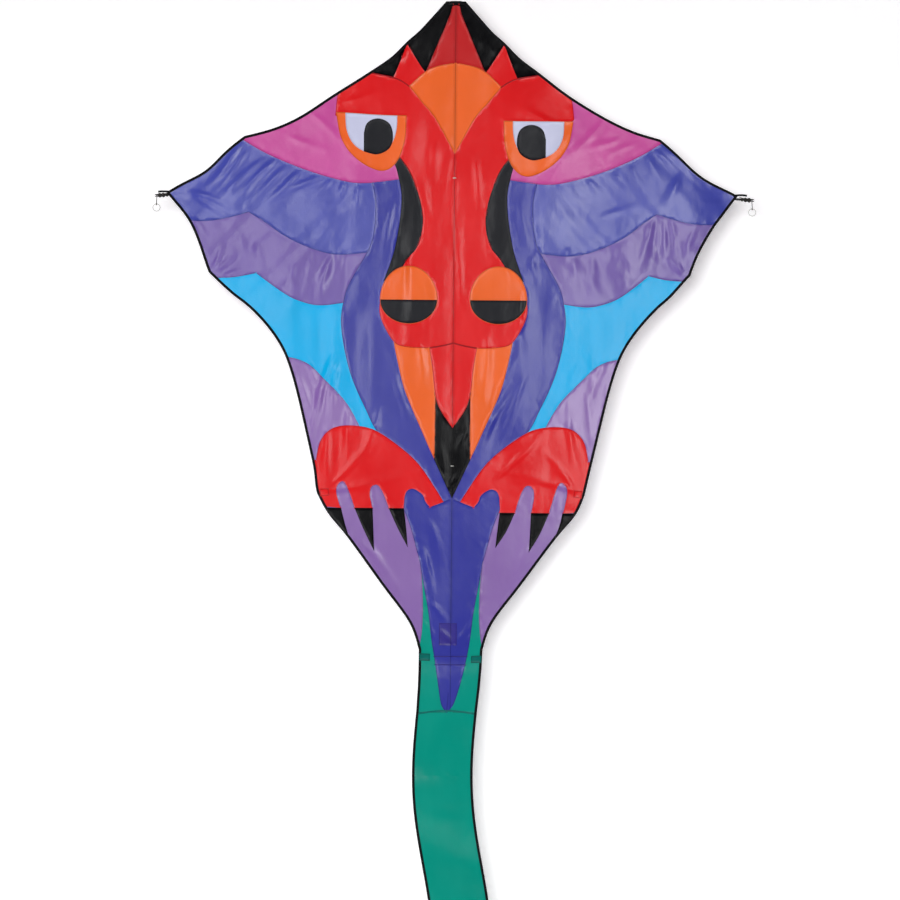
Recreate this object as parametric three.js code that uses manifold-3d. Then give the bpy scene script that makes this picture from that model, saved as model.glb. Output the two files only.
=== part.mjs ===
// A large single-line dragon kite: a sail of sewn ripstop panels on a fibreglass cross, with a long ribbon tail.
//
// Millimetres, +Z up towards the nose. The sail lies flat in the plane y = 0 with its painted-looking face
// towards -Y; the spars lie behind it. The origin is the bridle point, where the spine and cross spar meet.
// Left and right are as seen from the front: left is -X.

import * as THREE from 'three';
import { mergeVertices } from 'three/addons/utils/BufferGeometryUtils.js';
import Module from 'manifold-3d';

const wasm = await Module();
wasm.setup();

// ---- Driving dimensions ----

const CLOTH = 0.8; // thickness of a panel's solid
const SEAM_GAP = 0.4; // between two neighbouring panels
const CENTRE_GAP = 0.4; // between the left and right halves, which fold back about the centre line
const CURVE_STEPS = 2; // straight steps for each point of a round stretch

const NOSE_Z = 463; // top of the sail
const NOSE_HALF_WIDTH = 25;
const HALF_SPAN = 748; // centre line to wing tip
const TIP_Z = -44;
const HIP_Z = -831;
const TAIL_START_Z = -1239; // where the sail has narrowed to the tail
const TAIL_SEAM_Z = -1405; // where the loose tail is sewn on
const TAIL_END_Z = -2740;
const TAIL_HALF_WIDTH = 78;
const TAIL_FLARE = 4; // how much wider each side is at the tail's start
const TAIL_SWING = 44; // how far the hanging tail wanders sideways
const TAIL_SWING_REACH = 640; // depth over which that swing builds up
const TAIL_WAVE = 1040; // length of one whole sideways wave
const TAIL_SEGMENTS = 4;
const TAIL_HINGE_GAP = 1.0;
// Hand sewing: the eyes and the lower edges of the feet sit at slightly different heights on the two sides.
const EYE_RISE = { left: 6, right: -6 };
const FOOT_RISE = { left: 1, right: -9 };

const SPINE_RADIUS = 3.5;
const SPINE_Y = 7; // the spine's centre, behind the sail
const SPINE_TOP_Z = 452;
const SPINE_JOINT_Z = -560; // where the two rods meet in the ferrule
const SPINE_BOTTOM_Z = -1168;
const FERRULE_RADIUS = 5;
const FERRULE_LENGTH = 70;
const CAP_RADIUS = 4.9;
const CAP_LENGTH = 16;
const CAP_WALL = 2.4;
const FIT = 0.35; // radial clearance of a rod in a sleeve
const LOWER_CROSS_Z = -757;

const WING_SPAR_RADIUS = 3;
const WING_SPAR_Y = 14.5;
const WING_SPAR_INNER = [16, -1]; // [x, z] where the spar starts beside the hub
const WING_SPAR_OUTER = [776, -50];
const LOWER_SPAR_RADIUS = 2.5;
const LOWER_SPAR_INNER = [15, 13, -760]; // [x, y, z]
const LOWER_SPAR_OUTER = [326, 5.6, -829];

const HUB_FRONT_Y = 5; // the clip's open mouth, in front of the spine
const CENTRE_HUB = { halfWidth: 8, backY: 20, halfHeight: 13, bossRadius: 5, bossHalfLength: 10 };
const LOWER_HUB = { halfWidth: 7, backY: 17, halfHeight: 10, bossRadius: 3.8, bossHalfLength: 8 };

const NOCK_RADIUS = 4.6;
const NOCK_SOCKET = 14; // depth of the socket over the spar's end
const NOCK_LENGTH = 28;
const NOCK_SLOT = 2.8; // width of the slot that takes the tension line
const NOCK_SLOT_DEPTH = 9;
const NOCK_TIP_RADIUS = 3.4;

const LINE_RADIUS = 1;
const EYE_OF_LINE = { x: 785, y: WING_SPAR_Y, z: -73, radius: 3.2 }; // small eye that the pull ring hangs in
const RING_RADIUS = 9.5;
const RING_SECTION = 1.3;

const BATTEN_RADIUS = 2;
const BATTEN_Y = 3.4;
const BATTEN_Z = -1266;
const BATTEN_HALF_LENGTH = 76;

// ---- Drawing panels in the plane of the sail ----
//
// Panels are drawn on the right half, as [x, z] with x counted from the centre line. A plain point is a corner;
// curve(...) runs smoothly through its points. Where a panel passes under a neighbour that is sewn over it, its
// outline runs on beneath that neighbour, and the neighbour's edge is what cuts it.

const curve = (...points) => ({ points });

function outline(start, ...steps) {
  const shape = new THREE.Shape();
  shape.moveTo(...start);
  for (const step of steps) {
    if (Array.isArray(step)) {
      shape.lineTo(...step);
    } else {
      shape.splineThru(step.points.map(([x, z]) => new THREE.Vector2(x, z)));
    }
  }
  return shape.getPoints(CURVE_STEPS);
}

function halfEllipse(centre, radiusX, radiusUp, radiusDown) {
  const shape = new THREE.Shape();
  shape.absellipse(...centre, radiusX, radiusUp, 0, Math.PI, false);
  shape.absellipse(...centre, radiusX, radiusDown, Math.PI, 2 * Math.PI, false);
  return shape.getPoints(CURVE_STEPS * 4);
}

// Sideways place of the tail's centre line: straight in the sail, a lazy S below it.
function tailCentre(z) {
  const depth = Math.max(0, TAIL_START_Z - z);
  return -TAIL_SWING * Math.tanh(depth / TAIL_SWING_REACH) * Math.sin((2 * Math.PI * depth) / TAIL_WAVE);
}

function tailHalfWidth(z) {
  const rootLength = TAIL_START_Z - TAIL_SEAM_Z;
  return TAIL_HALF_WIDTH + TAIL_FLARE * Math.max(0, 1 - (TAIL_START_Z - z) / rootLength);
}

const tailLevels = (from, to, count) =>
  Array.from({ length: count + 1 }, (_, i) => THREE.MathUtils.lerp(from, to, i / count));

// The whole right half of the sail, down to the seam where the loose tail begins.
const sailHalf = outline(
  [0, NOSE_Z],
  [NOSE_HALF_WIDTH, NOSE_Z],
  curve([135, 342], [220, 276], [299, 217], [394, 160], [469, 125], [540, 104]),
  curve([621, 43], [675, 5], [HALF_SPAN, TIP_Z]),
  curve([692, -113], [656, -182], [629, -252]),
  curve([576, -306], [534, -342], [490, -390], [455, -440], [432, -490], [408, -570], [372, -722], [347, HIP_Z]),
  curve([324, -882], [270, -948], [182, -1068], [108, -1168], [tailHalfWidth(TAIL_START_Z), TAIL_START_Z]),
  ...tailLevels(TAIL_START_Z, TAIL_SEAM_Z, 4).slice(1).map((z) => [tailHalfWidth(z), z]),
  ...tailLevels(TAIL_SEAM_Z, TAIL_START_Z, 4).map((z) => [0, z]),
);

// The panels of one side, with those sewn on top first.
function panelOutlines(word) {
  const rise = EYE_RISE[word];
  const soleZ = FOOT_RISE[word] - 872;
  return {
    eye: outline(
      [129, 156 + rise],
      [310, 156 + rise],
      curve([295, 89 + rise], [253, 39 + rise], [194, 12 + rise], [155, 33 + rise], [133, 90 + rise], [129, 156 + rise]),
    ),
    brow: outline([-5, 302], [0, 302], curve([68, 285], [120, 240]), curve([84, 196], [50, 155], [0, 64]), [-5, 64]),
    nostril: halfEllipse([118, -321], 74.5, 88, 62),
    crest: outline([-5, 470], [5, 470], [13, 431], [78, 277], [60, 240], [-5, 240]),
    crown: outline([-5, 500], [280, 500], [290, 296], [220, 274], [165, 261], [128, 347], [78, 277], [-5, 277]),
    crescent: outline(
      [160, 45],
      [145, 53],
      curve([121, 20], [101, -27], [85, -89], [85, -137], [97, -180], [121, -211], [140, -240]),
      [183, -272],
      curve([171, -240], [156, -193], [146, -141], [139, -85], [139, -35], [151, 20]),
    ),
    head: outline(
      [-5, 480],
      [290, 480],
      [299, 224],
      curve([307, 200], [312, 156]),
      [200, 60],
      [140, 30],
      [120, -60],
      [115, -150],
      [150, -240],
      [183, -272],
      curve([193, -330], [188, -374], [156, -430], [123, -444], [62, -447]),
      curve([53, -503], [46, -564], [33, -606], [0, -656]),
      [-5, -656],
    ),
    tusk: outline([62, -400], [150, -400], [156, -430], curve([145, -482], [129, -547], [109, -599], [82, -660], [47, -739]),
      curve([47, -663], [47, -563], [53, -503], [62, -447])),
    mouth: outline([-5, -500], [52, -500], [47, -560], [47, -739], [0, -842], [-5, -842]),
    body: outline(
      [-5, -842],
      [0, -842],
      [22, -853],
      [58, -867],
      curve([71, -851], [78, -834], [103, -819], [121, -831], [125, -872]),
      curve([112, -905], [101, -940], [82, -1010]),
      curve([71, -1072], [58, -1144], [50, -1212], [39, -1275], [27, -1336], [15, -1384], [0, -1404]),
      [-5, -1404],
    ),
    hand: outline(
      [420, soleZ + 6],
      [334, soleZ + 4],
      [291, soleZ],
      curve([302, -822], [288, -800], [275, -818], [256, soleZ]),
      [208, soleZ],
      curve([215, -825], [200, -808], [184, -826], [166, soleZ]),
      [100, soleZ],
      [60, -1005],
      [82, -1010],
      curve([77, -1070], [75, -1135], [77, -1190], [84, -1238]),
      [180, -1240],
    ),
    foot: outline(
      [420, -745],
      [357, -745],
      curve([347, -697], [324, -667], [292, -655], [249, -655], [204, -666], [153, -698], [102, -740], [67, -783], [22, -853]),
      [40, -880],
      [420, -880],
    ),
    shoulder: outline(
      [620, 104],
      [544, 97],
      curve([483, 60], [405, 25], [320, -2], [245, -15], [150, -4]),
      [120, 0],
      [120, 300],
      [620, 300],
    ),
    neck: outline(
      [60, 20],
      [225, 20],
      curve([209, -46], [206, -90], [211, -151], [226, -195], [275, -282], [290, -335], [294, -387], [282, -465],
        [258, -544], [204, -657]),
      [-5, -900],
      [-5, -400],
    ),
    wing_upper: outline(
      [800, -112],
      [692, -116],
      curve([640, -117], [585, -107], [537, -93]),
      curve([497, -118], [446, -154], [391, -181], [339, -198], [294, -203], [228, -197]),
      [150, -190],
      [150, 200],
      [800, 200],
    ),
    wing_middle: outline(
      [700, -270],
      [612, -267],
      curve([566, -264], [514, -253]),
      curve([472, -286], [427, -316], [378, -333], [341, -336], [288, -329]),
      [250, -320],
      [150, -100],
      [800, -50],
    ),
    hip: outline([480, -471], [440, -474], curve([405, -482], [374, -498], [345, -526], [298, -573], [271, -608], [240, -665]),
      [240, -800], [480, -800]),
    wing_lower: outline([700, -200], [150, -200], [150, -800], [480, -800]),
    tail_root: outline([-5, -1000], [120, -1000], [120, -1420], [-5, -1420]),
  };
}

// Keeps corners where they are and adds points on long straight edges below the tail's start, so they can bend.
function withBendPoints(points) {
  return points.flatMap((point, i) => {
    const next = points[(i + 1) % points.length];
    if (Math.min(point.y, next.y) > TAIL_START_Z - 1) return [point];
    const count = Math.ceil(point.distanceTo(next) / 45);
    return Array.from({ length: count }, (_, k) => point.clone().lerp(next, k / count));
  });
}

// Puts an outline on its own side of the centre line and lets it follow the tail's bend.
function onSide(points, side) {
  const placed = withBendPoints(points).map((p) => new THREE.Vector2(p.x * side + tailCentre(p.y), p.y));
  return THREE.ShapeUtils.isClockWise(placed) ? placed.reverse() : placed;
}

// The same anticlockwise outline with every edge moved outwards by `gap`.
function widened(points, gap) {
  return points.map((point, i) => {
    const before = points[(i + points.length - 1) % points.length];
    const after = points[(i + 1) % points.length];
    const inward = new THREE.Vector2().subVectors(point, before).normalize();
    const outward = new THREE.Vector2().subVectors(after, point).normalize();
    const normal = new THREE.Vector2(inward.y + outward.y, -inward.x - outward.x);
    const reach = Math.min(3, 2 / Math.max(normal.lengthSq(), 0.1));
    return point.clone().addScaledVector(normal, gap * reach);
  });
}

// ---- Solids ----

function toManifold(geometry) {
  const plain = geometry.clone();
  plain.deleteAttribute('normal');
  plain.deleteAttribute('uv');
  const merged = mergeVertices(plain, 1e-4);
  const mesh = new wasm.Mesh({
    numProp: 3,
    vertProperties: new Float32Array(merged.attributes.position.array),
    triVerts: new Uint32Array(merged.index.array),
  });
  return new wasm.Manifold(mesh);
}

function toGeometry(solid) {
  const mesh = solid.getMesh();
  const geometry = new THREE.BufferGeometry();
  geometry.setAttribute('position', new THREE.BufferAttribute(new Float32Array(mesh.vertProperties), 3));
  geometry.setIndex(new THREE.BufferAttribute(new Uint32Array(mesh.triVerts), 1));
  return geometry.toNonIndexed();
}

// A flat plate of the given outline, standing in the XZ plane and centred on y = 0.
function plate(points, thickness) {
  const geometry = new THREE.ExtrudeGeometry(new THREE.Shape(points), { depth: thickness, bevelEnabled: false });
  geometry.rotateX(Math.PI / 2);
  geometry.translate(0, thickness / 2, 0);
  return geometry;
}

const largestPart = (solid) => solid.decompose().reduce((a, b) => (b.volume() > a.volume() ? b : a));

// Cuts one side of the sail into its panels: each keeps what the panels sewn over it leave free.
function cutPanels(word, side) {
  const CUTTER = CLOTH + 4;
  const half = toManifold(plate(onSide(sailHalf, side), CLOTH));
  const centreStrip = [[-1, NOSE_Z + 9], [1, NOSE_Z + 9], [1, TAIL_SEAM_Z - 9], [-1, TAIL_SEAM_Z - 9]]
    .map(([x, z]) => new THREE.Vector2((x * CENTRE_GAP) / 2, z));
  let covered = toManifold(plate(onSide(centreStrip, 1), CUTTER));
  const panels = {};
  for (const [name, points] of Object.entries(panelOutlines(word))) {
    const drawn = onSide(points, side);
    panels[name] = largestPart(toManifold(plate(drawn, CUTTER)).intersect(half).subtract(covered));
    covered = covered.add(toManifold(plate(widened(drawn, SEAM_GAP), CUTTER)));
  }
  return panels;
}

function cylinderBetween(from, to, radius, sides = 16) {
  const start = new THREE.Vector3(...from);
  const end = new THREE.Vector3(...to);
  const geometry = new THREE.CylinderGeometry(radius, radius, start.distanceTo(end), sides);
  const direction = new THREE.Vector3().subVectors(end, start).normalize();
  geometry.applyQuaternion(new THREE.Quaternion().setFromUnitVectors(new THREE.Vector3(0, 1, 0), direction));
  geometry.translate(...start.add(end).multiplyScalar(0.5));
  return geometry;
}

// A turned piece whose profile is given as [radius, height], standing along +Z.
function turned(profile, sides = 20) {
  const geometry = new THREE.LatheGeometry(profile.map(([r, h]) => new THREE.Vector2(r, h)), sides);
  geometry.rotateX(Math.PI / 2);
  return geometry;
}

// A soft cap pushed over a rod's end. Its closed end is at height 0 and its mouth at CAP_LENGTH.
function capProfile() {
  const bore = SPINE_RADIUS + FIT;
  return [[0, 0], [CAP_RADIUS - 1.2, 0], [CAP_RADIUS, 1.2], [CAP_RADIUS, CAP_LENGTH], [bore, CAP_LENGTH],
    [bore, CAP_WALL], [0, CAP_WALL]];
}

function ferruleProfile() {
  const bore = SPINE_RADIUS + FIT;
  const half = FERRULE_LENGTH / 2;
  return [[bore, -half], [FERRULE_RADIUS, -half], [FERRULE_RADIUS, half], [bore, half], [bore, -half]];
}

// A moulded clip that snaps on the spine from behind, with a boss across it for the two spars' flexible sleeves.
function hubGeometry(hub, z, sparY) {
  const depth = hub.backY - HUB_FRONT_Y;
  const block = new THREE.BoxGeometry(2 * hub.halfWidth, depth, 2 * hub.halfHeight);
  block.translate(0, HUB_FRONT_Y + depth / 2, z);
  const boss = cylinderBetween([-hub.bossHalfLength, sparY, z], [hub.bossHalfLength, sparY, z], hub.bossRadius);
  const reach = hub.halfHeight + 1;
  const bore = cylinderBetween([0, SPINE_Y, z - reach], [0, SPINE_Y, z + reach], SPINE_RADIUS + FIT, 24);
  return toGeometry(toManifold(block).add(toManifold(boss)).subtract(toManifold(bore)));
}

// The nock stands along +Z with its socket's mouth at height 0 and the slot at its far end.
function nockGeometry() {
  const bore = WING_SPAR_RADIUS + FIT;
  const body = turned([[bore, 0], [NOCK_RADIUS, 0], [NOCK_RADIUS, NOCK_SOCKET + 3],
    [NOCK_TIP_RADIUS + 0.6, NOCK_SOCKET + 5], [NOCK_TIP_RADIUS, NOCK_LENGTH - 1.2],
    [NOCK_TIP_RADIUS - 1.2, NOCK_LENGTH], [0, NOCK_LENGTH], [0, NOCK_SOCKET], [bore, NOCK_SOCKET], [bore, 0]]);
  const slot = new THREE.BoxGeometry(NOCK_SLOT, 3 * NOCK_RADIUS, NOCK_SLOT_DEPTH);
  slot.translate(0, 0, NOCK_LENGTH - NOCK_SLOT_DEPTH / 2 + 0.01);
  return toGeometry(toManifold(body).subtract(toManifold(slot)));
}

// The tension line: from the wing's corner, through the nock's slot, and down to the small eye for the ring.
function tensionLineGeometry() {
  const slotX = WING_SPAR_OUTER[0] + NOCK_LENGTH - NOCK_SOCKET - 5;
  const slotZ = WING_SPAR_OUTER[1] - 0.6;
  const route = [
    [HALF_SPAN + 1.6, 0, TIP_Z - 0.4],
    [slotX - 14, 4.5, slotZ + 2],
    [slotX - 3, 6.5, slotZ],
    [slotX, 10, slotZ],
    [slotX, WING_SPAR_Y, slotZ],
    [slotX, WING_SPAR_Y + 5, slotZ - 0.5],
    [slotX, WING_SPAR_Y + 6.5, slotZ - 6],
    [EYE_OF_LINE.x, WING_SPAR_Y + 3.5, slotZ - 13],
    [EYE_OF_LINE.x, EYE_OF_LINE.y, EYE_OF_LINE.z + EYE_OF_LINE.radius],
  ].map((p) => new THREE.Vector3(...p));
  const section = new THREE.Shape().absarc(0, 0, LINE_RADIUS, 0, 2 * Math.PI);
  const tube = new THREE.ExtrudeGeometry(section, {
    extrudePath: new THREE.CatmullRomCurve3(route),
    steps: 34,
    curveSegments: 4,
    bevelEnabled: false,
  });
  const eye = new THREE.TorusGeometry(EYE_OF_LINE.radius, LINE_RADIUS, 8, 16);
  eye.rotateY(Math.PI / 2);
  eye.translate(EYE_OF_LINE.x, EYE_OF_LINE.y, EYE_OF_LINE.z);
  return toGeometry(toManifold(tube).add(toManifold(eye)));
}

// One length of the loose tail, between two heights, with half a hinge gap left at each end.
function tailSegmentGeometry(topZ, bottomZ) {
  const levels = tailLevels(topZ - TAIL_HINGE_GAP / 2, bottomZ + TAIL_HINGE_GAP / 2, 10);
  const edge = (side) => levels.map((z) => new THREE.Vector2(tailCentre(z) + side * tailHalfWidth(z), z));
  return plate([...edge(-1), ...edge(1).reverse()], CLOTH);
}

// ---- Materials ----

const cloth = (color) => new THREE.MeshStandardMaterial({ color, roughness: 0.55, metalness: 0, side: THREE.DoubleSide });

const RED = cloth(0xd8282c);
const ORANGE = cloth(0xf4703a);
const BLACK = cloth(0x15171a);
const PINK = cloth(0xcf57a4);
const BLUE = cloth(0x4a47a3);
const VIOLET = cloth(0x6c6cb8);
const PURPLE = cloth(0x8f6fb6);
const CYAN = cloth(0x35b8ef);
const LILAC = cloth(0xa083c4);
const GREEN = cloth(0x129b86);
const ROD = new THREE.MeshStandardMaterial({ color: 0x1c1c1e, roughness: 0.35, metalness: 0.05 });
const FITTING = new THREE.MeshStandardMaterial({ color: 0x111214, roughness: 0.5, metalness: 0 });
const CAP = new THREE.MeshStandardMaterial({ color: 0x18181a, roughness: 0.7, metalness: 0 });
const CLEAR = new THREE.MeshStandardMaterial({ color: 0xd8d8d4, roughness: 0.2, metalness: 0 });
const LINE = new THREE.MeshStandardMaterial({ color: 0x2a2722, roughness: 0.8, metalness: 0 });

const PANEL_MATERIALS = {
  eye: ORANGE, brow: ORANGE, nostril: ORANGE, crest: RED, crown: BLACK, crescent: BLACK, head: RED, tusk: ORANGE,
  mouth: BLACK, body: BLUE, hand: PURPLE, foot: RED, shoulder: PINK, neck: BLUE, wing_upper: VIOLET,
  wing_middle: PURPLE, hip: LILAC, wing_lower: CYAN, tail_root: GREEN,
};

// ---- Assembly ----

const kite = new THREE.Group();

function addPiece(name, geometry, material, parent = kite) {
  const mesh = new THREE.Mesh(geometry, material);
  mesh.name = name;
  parent.add(mesh);
  return mesh;
}

function addSide(word, side) {
  const mirrored = new THREE.Group();
  mirrored.scale.x = side;
  kite.add(mirrored);

  for (const [name, solid] of Object.entries(cutPanels(word, side))) {
    addPiece(`${name}_${word}`, toGeometry(solid), PANEL_MATERIALS[name]);
  }

  const sparStart = [WING_SPAR_INNER[0], WING_SPAR_Y, WING_SPAR_INNER[1]];
  const sparEnd = [WING_SPAR_OUTER[0], WING_SPAR_Y, WING_SPAR_OUTER[1]];
  addPiece(`wing_spar_${word}`, cylinderBetween(sparStart, sparEnd, WING_SPAR_RADIUS), ROD, mirrored);
  addPiece(`lower_spar_${word}`, cylinderBetween(LOWER_SPAR_INNER, LOWER_SPAR_OUTER, LOWER_SPAR_RADIUS), ROD, mirrored);

  const nock = addPiece(`nock_${word}`, nockGeometry(), FITTING, mirrored);
  const along = new THREE.Vector3().subVectors(new THREE.Vector3(...sparEnd), new THREE.Vector3(...sparStart)).normalize();
  nock.quaternion.setFromUnitVectors(new THREE.Vector3(0, 0, 1), along);
  nock.position.set(...sparEnd).addScaledVector(along, FIT - NOCK_SOCKET);

  addPiece(`tension_line_${word}`, tensionLineGeometry(), LINE, mirrored);
  const ring = addPiece(`pull_ring_${word}`, new THREE.TorusGeometry(RING_RADIUS, RING_SECTION, 8, 24), CLEAR, mirrored);
  ring.rotation.x = Math.PI / 2;
  ring.position.set(EYE_OF_LINE.x, EYE_OF_LINE.y, EYE_OF_LINE.z - RING_RADIUS);
}

function addSpine() {
  const halfCut = FIT;
  addPiece('spine_upper', cylinderBetween([0, SPINE_Y, SPINE_JOINT_Z + halfCut], [0, SPINE_Y, SPINE_TOP_Z], SPINE_RADIUS), ROD);
  addPiece('spine_lower', cylinderBetween([0, SPINE_Y, SPINE_BOTTOM_Z], [0, SPINE_Y, SPINE_JOINT_Z - halfCut], SPINE_RADIUS), ROD);
  addPiece('spine_ferrule', turned(ferruleProfile()), FITTING).position.set(0, SPINE_Y, SPINE_JOINT_Z);
  const nose = addPiece('nose_cap', turned(capProfile()), CAP);
  nose.rotation.x = Math.PI;
  nose.position.set(0, SPINE_Y, SPINE_TOP_Z + CAP_WALL + FIT);
  addPiece('spine_end_cap', turned(capProfile()), CAP).position.set(0, SPINE_Y, SPINE_BOTTOM_Z - CAP_WALL - FIT);
  addPiece('centre_hub', hubGeometry(CENTRE_HUB, 0, WING_SPAR_Y), FITTING);
  addPiece('lower_hub', hubGeometry(LOWER_HUB, LOWER_CROSS_Z, LOWER_SPAR_INNER[1]), FITTING);
}

function addTail() {
  const centreX = tailCentre(BATTEN_Z);
  const ends = [-1, 1].map((side) => [centreX + side * BATTEN_HALF_LENGTH, BATTEN_Y, BATTEN_Z]);
  addPiece('tail_batten', cylinderBetween(...ends, BATTEN_RADIUS, 12), ROD);
  const levels = tailLevels(TAIL_SEAM_Z, TAIL_END_Z, TAIL_SEGMENTS);
  for (let i = 0; i < TAIL_SEGMENTS; i += 1) {
    addPiece(`tail_${i + 1}`, tailSegmentGeometry(levels[i], levels[i + 1]), GREEN);
  }
}

addSide('left', -1);
addSide('right', 1);
addSpine();
addTail();

export default kite;
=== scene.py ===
"""The looks of a sewn dragon kite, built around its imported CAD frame.

Metres, +Z towards the nose, the face towards -Y.
"""

import math

import bmesh
import bpy
import numpy as np
from mathutils import Matrix, Vector
from mathutils.geometry import delaunay_2d_cdt


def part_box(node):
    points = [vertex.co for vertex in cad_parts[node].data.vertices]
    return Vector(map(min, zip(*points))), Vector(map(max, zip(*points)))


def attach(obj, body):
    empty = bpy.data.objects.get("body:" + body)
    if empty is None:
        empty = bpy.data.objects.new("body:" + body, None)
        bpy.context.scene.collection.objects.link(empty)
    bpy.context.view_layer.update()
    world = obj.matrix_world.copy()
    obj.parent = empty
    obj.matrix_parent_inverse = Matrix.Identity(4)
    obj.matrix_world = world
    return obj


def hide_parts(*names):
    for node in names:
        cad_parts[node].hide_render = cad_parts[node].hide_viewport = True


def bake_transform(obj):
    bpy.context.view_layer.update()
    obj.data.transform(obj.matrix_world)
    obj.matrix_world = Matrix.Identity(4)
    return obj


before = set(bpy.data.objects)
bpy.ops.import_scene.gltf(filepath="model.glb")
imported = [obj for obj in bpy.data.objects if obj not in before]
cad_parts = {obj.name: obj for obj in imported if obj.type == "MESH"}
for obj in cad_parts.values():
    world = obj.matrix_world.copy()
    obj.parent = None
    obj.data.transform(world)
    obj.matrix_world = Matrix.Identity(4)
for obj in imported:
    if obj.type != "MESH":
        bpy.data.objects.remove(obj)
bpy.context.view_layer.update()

MM = 0.001
SIDES = {"left": -1, "right": 1}

# ---- Camera ----

PICTURE_WIDTH = 2.367  # metres of the sail's plane across the picture
CAMERA_DISTANCE = 7.0
CAMERA_CENTRE = Vector((-0.006, 0, -0.715))
CAMERA_ROLL = math.radians(0.487)
SENSOR = 36.0


def add_camera():
    data = bpy.data.cameras.new("camera")
    data.sensor_width = SENSOR
    data.lens = SENSOR * CAMERA_DISTANCE / PICTURE_WIDTH
    data.clip_start, data.clip_end = 0.1, 100
    camera = bpy.data.objects.new("camera", data)
    bpy.context.collection.objects.link(camera)
    turn = Matrix.Rotation(math.radians(90), 4, "X") @ Matrix.Rotation(CAMERA_ROLL, 4, "Z")
    camera.matrix_world = Matrix.Translation(CAMERA_CENTRE - Vector((0, CAMERA_DISTANCE, 0))) @ turn
    bpy.context.scene.camera = camera


# ---- Sizes of the sewn work, in metres ----

HEM = 2.4 * MM  # half the width of a sewn overlap
PATCH_HEM = 1.6 * MM
HEM_SLOPE = 1.3  # the doubled edge has thinned out to one layer at this many hems from the edge
HEM_HALF_THICKNESS = 0.32 * MM
CLOTH_HALF_THICKNESS = 0.15 * MM
PATCH_REACH = 0.75 * MM  # a patch is this much thicker each way, so it shows on both faces of the sail
PATCH_STEP = 0.25 * MM  # and this much more for each layer of cloth under it
OVERLAP = 1.3 * MM  # how far a panel runs under or over its neighbour
LAYER_STEP = 0.02 * MM  # one panel's surface in front of the next, where they overlap
TAPE_LAYER = 10
STRIP_LAYER = 20
TOP_LAYER = 22  # in front of every panel
EDGE_STEP = 5 * MM
GRID_STEP = 6.5 * MM
GRID_ROW = GRID_STEP * 0.87  # so that the triangles' sides are nearly equal
TAPE_WIDTH = 5.0 * MM
TAPE_OUT = 1.9 * MM
TAPE_HALF_THICKNESS = 0.9 * MM
CORNER = math.radians(32)  # sharper than this stays a corner
UNEVEN = 3.5  # and so does a point between two stretches of which one is this many times longer

TAIL_START = -1.239
TAIL_SEAM = -1.405
TAIL_END = -2.740
TAIL_HALF_WIDTH = 0.078
TAIL_SEGMENTS = 4
TAIL_SWAY = 0.044  # the lazy S goes this far sideways,
TAIL_SWAY_GROWTH = 0.640  # growing over this length,
TAIL_WAVE = 1.040  # and repeats after this one


def tail_centre(z):
    depth = np.maximum(0, TAIL_START - z)
    return -TAIL_SWAY * np.tanh(depth / TAIL_SWAY_GROWTH) * np.sin(2 * np.pi * depth / TAIL_WAVE)


# ---- Curves in the plane of the sail ----


def hermite(t, start, end, leave, arrive):
    """A smooth path from start to end, with the given speed and direction at each."""
    return ((2 * t**3 - 3 * t**2 + 1) * start + (t**3 - 2 * t**2 + t) * leave
            + (-2 * t**3 + 3 * t**2) * end + (t**3 - t**2) * arrive)


def catmull(points, steps=6):
    """A smooth line through the points."""
    p = [np.array(q, float) for q in points]
    out = []
    for i in range(len(p) - 1):
        a, b, c, d = p[max(i - 1, 0)], p[i], p[i + 1], p[min(i + 2, len(p) - 1)]
        out += [hermite(k / steps, b, c, (c - a) / 2, (d - b) / 2) for k in range(steps)]
    return out + [p[-1]]


def curve(*points):
    return ("curve", points)


def outline(start, *steps):
    """Corners as plain points and smooth stretches as curve(...), in millimetres, as an array in metres."""
    line = [np.array(start, float)]
    for step in steps:
        if step[0] == "curve":
            line += catmull([line[-1], *step[1]])[1:]
        else:
            line.append(np.array(step, float))
    return np.array(line) * MM


def on_side(points, side):
    placed = np.array(points) * (side, 1)
    placed[:, 0] += tail_centre(placed[:, 1])
    return placed


def dense_line(line, step):
    """The same line with its points no further apart than step."""
    dense = [line[0]]
    for a, b in zip(line, line[1:]):
        count = max(1, math.ceil(np.linalg.norm(b - a) / step))
        dense += [a + (b - a) * k / count for k in range(1, count + 1)]
    return np.array(dense)


def signed_area(loop):
    x, z = loop[:, 0], loop[:, 1]
    return 0.5 * np.sum(x * np.roll(z, -1) - np.roll(x, -1) * z)


def anticlockwise(loop):
    return loop if signed_area(loop) > 0 else loop[::-1]


def smooth_loop(loop, step):
    """Rounds a closed polygon between its real corners, with points along it every step or less."""
    n = len(loop)
    ahead = np.roll(loop, -1, axis=0) - loop
    length = np.linalg.norm(ahead, axis=1)
    ahead = ahead / length[:, None]
    behind = np.roll(ahead, 1, axis=0)
    turn = np.arccos(np.clip(np.sum(ahead * behind, axis=1), -1, 1))
    mean = ahead + behind
    mean /= np.maximum(np.linalg.norm(mean, axis=1), 1e-9)[:, None]
    before = np.roll(length, 1)
    uneven = np.maximum(length, before) > UNEVEN * np.minimum(length, before)
    corner = ((turn > CORNER) | uneven)[:, None]
    leave = np.where(corner, ahead, mean)
    arrive = np.where(corner, behind, mean)
    out = []
    for i in range(n):
        j = (i + 1) % n
        count = max(1, math.ceil(length[i] / step))
        t = np.arange(count)[:, None] / count
        out.append(hermite(t, loop[i], loop[j], length[i] * leave[i], length[i] * arrive[j]))
    return np.concatenate(out)


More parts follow.
